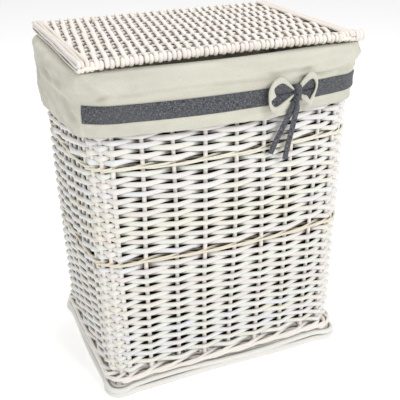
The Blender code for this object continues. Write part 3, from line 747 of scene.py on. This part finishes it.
# Drag folds on the cuff: stake number and height of the middle, half length in stake numbers, how much it
# climbs in that length, the fold's half width and its size. A negative size is a hollow.
DRAG_FOLDS = (
    (21.3, 0.536, 0.9, -0.012, 0.0050, 0.0026), (21.6, 0.522, 0.7, 0.008, 0.0040, -0.0022),
    (23.2, 0.531, 1.8, 0.006, 0.0060, 0.0022), (25.6, 0.524, 2.2, -0.003, 0.0050, -0.0022),
    (27.4, 0.538, 2.4, 0.003, 0.0060, 0.0020), (29.4, 0.530, 1.8, 0.010, 0.0055, 0.0038),
    (30.4, 0.519, 1.2, 0.010, 0.0045, -0.0030), (28.6, 0.520, 1.0, 0.002, 0.0040, -0.0016),
    (17.2, 0.527, 2.0, -0.026, 0.0060, 0.0030), (18.4, 0.510, 1.7, -0.030, 0.0060, -0.0030),
    (16.0, 0.505, 1.6, -0.022, 0.0065, 0.0026), (19.3, 0.532, 1.0, -0.016, 0.0050, 0.0024),
    (25.0, 0.474, 3.5, 0.001, 0.0030, 0.0011), (33.5, 0.520, 1.6, 0.020, 0.0060, 0.0030),
    (36.0, 0.505, 1.6, -0.018, 0.0060, 0.0028), (4.0, 0.520, 2.0, 0.006, 0.0060, 0.0026),
    (10.0, 0.515, 2.0, -0.006, 0.0060, 0.0026), (7.0, 0.500, 2.4, 0.004, 0.0050, -0.0020),
)


DRAG_GAIN = 2.3  # how far a drag fold stands out, for each metre of its size


def drag_folds(z, t):
    total = 0.0
    for place, height, reach, climb, half_width, size in DRAG_FOLDS:
        along = (t - place) / reach
        if abs(along) < 1.6:
            across = (z - height - climb * along) / half_width
            total += DRAG_GAIN * size * math.exp(-across * across - 1.4 * along * along)
    return total


def cuff_folds(z, t, run):
    """Soft folds: long and shallow on the front, deeper on the ends, and none under the ribbon band."""
    under_band = smooth_step(BAND_LOW_Z - 0.004, BAND_LOW_Z + 0.003, z)
    under_band *= 1 - smooth_step(BAND_TOP_Z - 0.003, BAND_TOP_Z + 0.008, z)
    under_band *= smooth_step(SEAM_T - 0.1, SEAM_T + 0.3, t) * (1 - smooth_step(31, 32, t))
    loose = ease(t)
    long_fold = fold_noise(run * 12, z * 64 + run * 5, 3.1)
    slanting = fold_noise(run * 30 + z * 45, z * 9, 7.7)
    fine = fold_noise(run * 75 + z * 30, z * 85, 1.3)
    depth = 0.0048 * long_fold + 0.0060 * (loose - 0.20) * slanting + 0.0018 * fine + drag_folds(z, t)
    return (1 - 0.92 * under_band) * depth


def cuff_outside(z, t, run):
    """How far out of the wall the cuff's outer face stands, at one height or one for each stake number."""
    places = zip(np.broadcast_to(z, t.shape), t, run)
    return np.array([CUFF_STAND_OFF + cuff_puff(*place[:2]) + cuff_folds(*place) for place in places])


def run_along(t, z):
    """Distance round the wall from stake 0 to each stake number."""
    line = wall(z, -CUFF_STAND_OFF, np.append(t, t[0] + COUNT))
    return np.concatenate([[0], np.cumsum(np.linalg.norm(np.diff(line, axis=0), axis=1))])


def build_cuff():
    """The cuff: up its outside from the hem, round over the rim, and down inside to the inner hem. It has a
    slit for each hinge loop."""
    t = cuff_columns()
    run = run_along(t, 0.5)
    hem_line = CUFF_LOW_Z + 0.0060 * smooth_step(27, 31.5, t) * (1 - smooth_step(34, 38, t))
    outer_bend, inner_bend = 0.0095, 0.0040
    bend_z, inner_inset = CUFF_TOP_Z - outer_bend, WALL + 0.0018
    rows = []
    for share in np.linspace(0, 1, 36):
        z = hem_line + (bend_z - hem_line) * share
        rows.append(wall(z, -cuff_outside(z, t, run), t))
    top = cuff_outside(bend_z, t, run)
    for angle in np.radians(np.linspace(12, 90, 7)):
        rows.append(wall(bend_z + outer_bend * np.sin(angle), -top + outer_bend * (1 - np.cos(angle)), t))
    start, end = -top + outer_bend, inner_inset - inner_bend
    for share in np.linspace(0.2, 1, 5):
        wobble = np.array([0.0006 * fold_noise(rr * 40, share * 3, 5.0) for rr in run[:-1]])
        rows.append(wall(CUFF_TOP_Z - np.abs(wobble), start + (end - start) * share, t))
    for angle in np.radians(np.linspace(25, 90, 4)):
        rows.append(wall(CUFF_TOP_Z - inner_bend * (1 - np.cos(angle)), end + inner_bend * np.sin(angle), t))
    for z in np.linspace(0.548, CUFF_HEM_Z, 6):
        rows.append(wall(z, inner_inset, t))
    grid = np.stack(rows)
    in_slit = np.zeros(len(t), bool)
    for middle in SLITS:
        in_slit |= np.abs(t - (middle - SLIT_HALF)) < 1e-9
    tall = grid[:, :, 2].mean(1)

    def keep(i, j):
        return not (in_slit[j] and tall[i] > SLIT_LOW_Z)

    mesh = grid_mesh("liner_cuff_cloth", grid, round_uv(grid, run), keep, ring=True)
    cuff = finish_piece("liner_cuff_cloth", mesh, COTTON, "basket", ["liner_cuff"])
    thicken(cuff, 0.0012, offset=-1.0)
    return t, run


FLOOR_CLOTH_Z = 0.0365  # where the bag's floor lies on the base mat


def build_bag():
    """The liner's bag, hung inside the wall, with a flat floor and soft wrinkles, and near-black painted
    shade on its outer face.
    """
    t = np.linspace(0, COUNT, 300, endpoint=False)
    run = run_along(t, 0.3)
    rows = []
    for z in np.linspace(0.5355, 0.050, 34):
        wrinkle = [0.0016 * (1 + fold_noise(rr * 22, z * 6, 2.2))
                   + 0.0008 * (1 + fold_noise(rr * 60, z * 40, 9.0)) for rr in run[:-1]]
        rows.append(wall(z, WALL + 0.0034 + np.array(wrinkle), t))
    bend = 0.014
    for angle in np.radians((25, 50, 75, 90)):
        inset = WALL + 0.0040 + bend * (1 - np.cos(angle))
        rows.append(wall(FLOOR_CLOTH_Z + bend * (1 - np.sin(angle)), inset, t))
    rim = rows[-1]
    centre = np.array([0.0, BACKSET, FLOOR_CLOTH_Z])
    for share in (0.96, 0.90, 0.80, 0.65, 0.50, 0.35, 0.20, 0.08, 0.004):
        ring = centre + (rim - centre) * share
        wrinkle = [0.0009 * (1 + fold_noise(x * 14, y * 14, 4.0)) for x, y, _ in ring]
        ring[:, 2] = FLOOR_CLOTH_Z + 0.0003 + np.array(wrinkle)
        rows.append(ring)
    grid = np.stack(rows)
    mesh = grid_mesh("liner_bag_cloth", grid, round_uv(grid, run), ring=True)
    bag = finish_piece("liner_bag_cloth", mesh, COTTON, "basket", ["liner_bag"])
    # the outer face gets the near-black painted shade cloth
    thicken(bag, 0.0010, offset=-1.0, second=PAINTED_SHADE_COTTON)


def build_band(cuff_t, cuff_run):
    """The ribbon sewn on the cuff's front, from corner to corner."""
    ends = (SEAM_T + 0.06, LAST_FRONT + 1.6)
    t = np.linspace(*ends, 190)
    run = np.interp(t, np.append(cuff_t, cuff_t[0] + COUNT), cuff_run)
    rows = []
    for z in np.linspace(BAND_LOW_Z, BAND_TOP_Z, 9):
        edge = min(z - BAND_LOW_Z, BAND_TOP_Z - z)
        rows.append(wall(z, -cuff_outside(z, t, run) - 0.0006 - 0.0004 * min(1.0, edge / 0.003), t))
    grid = np.stack(rows)
    heights = np.linspace(0, BAND_TOP_Z - BAND_LOW_Z, 9)
    uv = np.stack(np.meshgrid(run, heights), -1)
    mesh = grid_mesh("cuff_band_ribbon", grid, uv)
    band = finish_piece("cuff_band_ribbon", mesh, CHAMBRAY, "basket", ["cuff_band"])
    thicken(band, 0.0006, offset=1.0)


# ---------------- the bow

def band_front(x):
    """Y of the ribbon band's face at x, where the bow lies."""
    return float(wall(KNOT_Z, -CUFF_STAND_OFF - 0.0022, 26 + x / LONG_PITCH)[1])


# Outlines of the bow's loops and of their grey mouths, from the knot's middle round and back to it.
LEFT_LOOP = ((-0.003, 0.005), (-0.0192, 0.0214), (-0.0306, 0.0258), (-0.0414, 0.0194), (-0.0470, 0.0090),
             (-0.0478, 0.0), (-0.0470, -0.0102), (-0.0440, -0.0200), (-0.0377, -0.0266), (-0.0214, -0.0209),
             (-0.003, -0.005))
LEFT_LINING = ((-0.003, 0.003), (-0.0150, 0.0125), (-0.0233, 0.0170), (-0.0320, 0.0156), (-0.0385, 0.0105),
               (-0.0378, 0.0040), (-0.0352, -0.0016), (-0.0385, -0.0045), (-0.0435, -0.0075),
               (-0.0415, -0.0140), (-0.0335, -0.0188), (-0.0150, -0.0098), (-0.003, -0.003))
RIGHT_LOOP = ((0.003, 0.006), (0.0130, 0.0185), (0.0259, 0.0276), (0.0362, 0.0209), (0.0394, 0.0120),
              (0.0394, 0.0023), (0.0370, -0.0060), (0.0345, -0.0130), (0.0304, -0.0232), (0.0211, -0.0203),
              (0.0089, -0.0106), (0.003, -0.004))
RIGHT_LINING = ((0.004, 0.001), (0.0140, 0.0085), (0.0223, 0.0147), (0.0300, 0.0166), (0.0352, 0.0105),
                (0.0364, 0.0044), (0.0350, -0.0020), (0.0320, -0.0071), (0.0295, -0.0110), (0.0254, -0.0160),
                (0.0200, -0.0095), (0.0120, -0.0065), (0.004, -0.002))
LOOP_LEAN_X, LOOP_LEAN_Z = -0.61, 0.35  # how far the loops lean left and up for each metre they stand forward


def closed_curve(points, count):
    """A smooth line through the points, with the given number of samples."""
    points = np.array(points)
    ends = np.concatenate([[2 * points[0] - points[1]], points, [2 * points[-1] - points[-2]]])
    samples = []
    for place in np.linspace(0, len(points) - 1, count):
        k = min(int(place), len(points) - 2)
        share = place - k
        a, b, c, d = ends[k:k + 4]
        samples.append(0.5 * (2 * b + (c - a) * share + (2 * a - 5 * b + 4 * c - d) * share ** 2
                              + (3 * b - a - 3 * c + d) * share ** 3))
    return np.array(samples)


def bow_sheet(name, nodes, rows, material):
    """A folded ribbon from rows of points, as a sheet with a thickness."""
    grid = np.stack(rows)
    across = np.linalg.norm(np.diff(grid, axis=1), axis=2).mean(0)
    up = np.linalg.norm(np.diff(grid, axis=0), axis=2).mean(1)
    u, v = np.concatenate([[0], np.cumsum(across)]), np.concatenate([[0], np.cumsum(up)])
    uv = np.stack(np.meshgrid(u, v), -1)
    mesh = grid_mesh(name, grid, uv)
    piece = finish_piece(name, mesh, material, "basket", nodes)
    thicken(piece, 0.0005)


def build_loops():
    """The two loops, and the grey lining that sinks from each loop's mouth to a crease."""
    for label, outer, inner in (("left", LEFT_LOOP, LEFT_LINING), ("right", RIGHT_LOOP, RIGHT_LINING)):
        rim, mouth = closed_curve(outer, 60), closed_curve(inner, 60)
        reach = np.abs(rim[:, 0])
        depth = 0.0070 * smooth_step(0.0, 0.030, reach) + 0.0045

        def ring(line, forward):
            x = KNOT_X + line[:, 0] + LOOP_LEAN_X * forward
            y = np.array([band_front(value) for value in x]) - forward
            return np.stack([x, y, KNOT_Z + line[:, 1] + LOOP_LEAN_Z * forward], -1)

        middle = np.array([rim[:, 0].mean() * 1.05, rim[:, 1].mean()])
        waist = middle + (rim - middle) * 0.90
        outside = [ring(waist, 0.0008), ring(waist + (rim - middle) * 0.06, 0.45 * depth),
                   ring(rim, 0.85 * depth), ring(rim * 0.97 + mouth * 0.03, depth),
                   ring(rim * 0.5 + mouth * 0.5, depth * 0.985), ring(mouth, depth * 0.90),
                   ring(mouth + (middle - mouth) * 0.05, depth * 0.75)]
        bow_sheet(f"bow_loop_{label}_ribbon", [f"bow_loop_{label}"], outside, COTTON)
        crease = mouth * (0.86, 0.0)
        lining = [ring(mouth + (mouth - middle) * 0.01, depth * 0.87)]
        for share, forward in ((0.12, 0.66), (0.35, 0.50), (0.65, 0.56), (0.88, 0.40), (1.0, 0.15)):
            lining.append(ring(mouth + (crease - mouth) * share, depth * forward))
        bow_sheet(f"bow_lining_{label}_ribbon", [f"bow_lining_{label}"], lining, CHAMBRAY)


def build_knot():
    """The ribbon wound upright round the bow's middle."""
    rows = []
    for share in np.linspace(-1, 1, 25):
        half = 0.0056 + 0.0008 * share ** 2 + 0.0003 * math.sin(share * 9)
        bulge = 0.0125 * math.sqrt(max(0.0, 1 - (abs(share) ** 3) * 0.92)) + 0.001
        row = []
        for turn in np.radians(np.linspace(-100, 100, 21)):
            fold = 0.0004 * math.sin(turn * 7 + share * 2)
            x = KNOT_X + half * math.sin(turn) * (1 + fold * 60)
            forward = bulge * (0.25 + 0.75 * max(math.cos(turn), -0.1)) + fold
            row.append((x, band_front(x) - max(forward, 0.0003), KNOT_Z + 0.0128 * share))
        rows.append(row)
    grid = np.array(rows)
    uv = np.stack(np.meshgrid(np.linspace(0, 0.03, 21), np.linspace(0, 0.028, 25)), -1)
    mesh = grid_mesh("bow_knot_ribbon", grid, uv)
    knot = finish_piece("bow_knot_ribbon", mesh, CHAMBRAY, "basket", ["bow_knot"])
    thicken(knot, 0.0006)


def build_tails():
    """The ribbon's two ends, which hang from the knot."""
    lines = {
        "left": ((0.0915, 0.4885), (0.0880, 0.4720), (0.0755, 0.4440), (0.0560, 0.4055)),
        "right": ((0.0965, 0.4885), (0.0960, 0.4700), (0.0905, 0.4350), (0.0825, 0.3925)),
    }
    for label, points in lines.items():
        line = closed_curve(points, 36)
        tangent = unit(np.gradient(line, axis=0))
        across = np.stack([-tangent[:, 1], tangent[:, 0]], -1)
        share = np.linspace(0, 1, 36)
        half = 0.0032 + 0.0019 * smooth_step(0.0, 0.35, share)
        lift = 0.0016 + (0.0030 if label == "right" else 0.0) * (1 - 0.5 * share) + 0.0012 * np.sin(share * 5)
        rows = []
        for k in range(9):
            side = 2 * k / 8 - 1
            place = line + across * (half * side)[:, None]
            crown = 0.0016 * (1 - abs(side)) * (1 - 0.6 * share) + 0.0006 * np.sin(side * 3 + share * 9)
            outward = np.array([band_front(x) for x in place[:, 0]])
            hang = 0.0035 * smooth_step(0.25, 0.5, share)
            rows.append(np.stack([place[:, 0], outward - lift - crown + hang, place[:, 1]], -1))
        name = f"bow_tail_{label}_ribbon"
        grid = np.stack(rows)
        uv = np.stack(np.meshgrid(np.linspace(0, 0.09, 36), np.linspace(0, 0.0105, 9)), -1)
        mesh = grid_mesh(name, grid, uv)
        tail = finish_piece(name, mesh, CHAMBRAY, "basket", [f"bow_tail_{label}"])
        thicken(tail, 0.0006)


# ---------------- the studio

FLOOR_HALF = 40
LAMPS = (  # place, size and energy
    ("key", (0.9, -2.2, 2.2), 1.1, 38), ("fill", (-2.2, -0.8, 1.4), 1.6, 8),
    ("top", (0.2, 0.6, 2.6), 1.2, 18),
)
CAMERA_PLACE, CAMERA_LENS, CAMERA_SHIFT = (-0.4390, -1.0561, 0.8123), 63.15, (0.0091, -0.0075)
CAMERA_YAW, CAMERA_PITCH, CAMERA_ROLL = 0.39621, 0.44408, -0.01180


def build_studio():
    """A white floor, soft light, and the camera."""
    mesh = bpy.data.meshes.new("floor")
    corners = [(x * FLOOR_HALF, y * FLOOR_HALF, 0) for x, y in ((-1, -1), (1, -1), (1, 1), (-1, 1))]
    mesh.from_pydata(corners, [], [(0, 1, 2, 3)])
    floor = bpy.data.objects.new("floor", mesh)
    bpy.context.scene.collection.objects.link(floor)
    made, _, shader = new_material("pale floor")
    shader.inputs["Base Color"].default_value = (0.93, 0.93, 0.93, 1)
    shader.inputs["Roughness"].default_value = 0.9
    shader.inputs["Specular IOR Level"].default_value = 0.1
    shader.inputs["Emission Color"].default_value = (1, 1, 1, 1)
    shader.inputs["Emission Strength"].default_value = 0.30
    mesh.materials.append(made)

    world = bpy.data.worlds.new("studio")
    world.use_nodes = True
    world.node_tree.nodes["Background"].inputs["Color"].default_value = (1, 1, 1, 1)
    world.node_tree.nodes["Background"].inputs["Strength"].default_value = 0.60
    bpy.context.scene.world = world

    for name, place, size, energy in LAMPS:
        light = bpy.data.lights.new(name, "AREA")
        light.size, light.energy = size, energy
        lamp = bpy.data.objects.new(name, light)
        lamp.location = place
        lamp.rotation_euler = (Vector((0, 0, 0.3)) - Vector(place)).to_track_quat("-Z", "Y").to_euler()
        bpy.context.scene.collection.objects.link(lamp)

    data = bpy.data.cameras.new("camera")
    data.sensor_width, data.lens = 36.0, CAMERA_LENS
    data.shift_x, data.shift_y = CAMERA_SHIFT
    camera = bpy.data.objects.new("camera", data)
    bpy.context.scene.collection.objects.link(camera)
    yaw, pitch, roll = CAMERA_YAW, CAMERA_PITCH, CAMERA_ROLL
    forward = Vector((math.sin(yaw) * math.cos(pitch), math.cos(yaw) * math.cos(pitch), -math.sin(pitch)))
    right = Vector((math.cos(yaw), -math.sin(yaw), 0.0))
    up = right.cross(forward)
    right, up = (right * math.cos(roll) + up * math.sin(roll), -right * math.sin(roll) + up * math.cos(roll))
    turned = Matrix((right, up, -forward)).transposed().to_4x4()
    camera.matrix_world = Matrix.Translation(CAMERA_PLACE) @ turned
    bpy.context.scene.camera = camera
    bpy.context.scene.view_settings.view_transform = "Standard"


build_weave()
build_foot()
build_stakes()
build_base()
build_lid()
build_hinges()
cuff_t, cuff_run = build_cuff()
build_bag()
build_band(cuff_t, cuff_run)
build_loops()
build_knot()
build_tails()
build_studio()
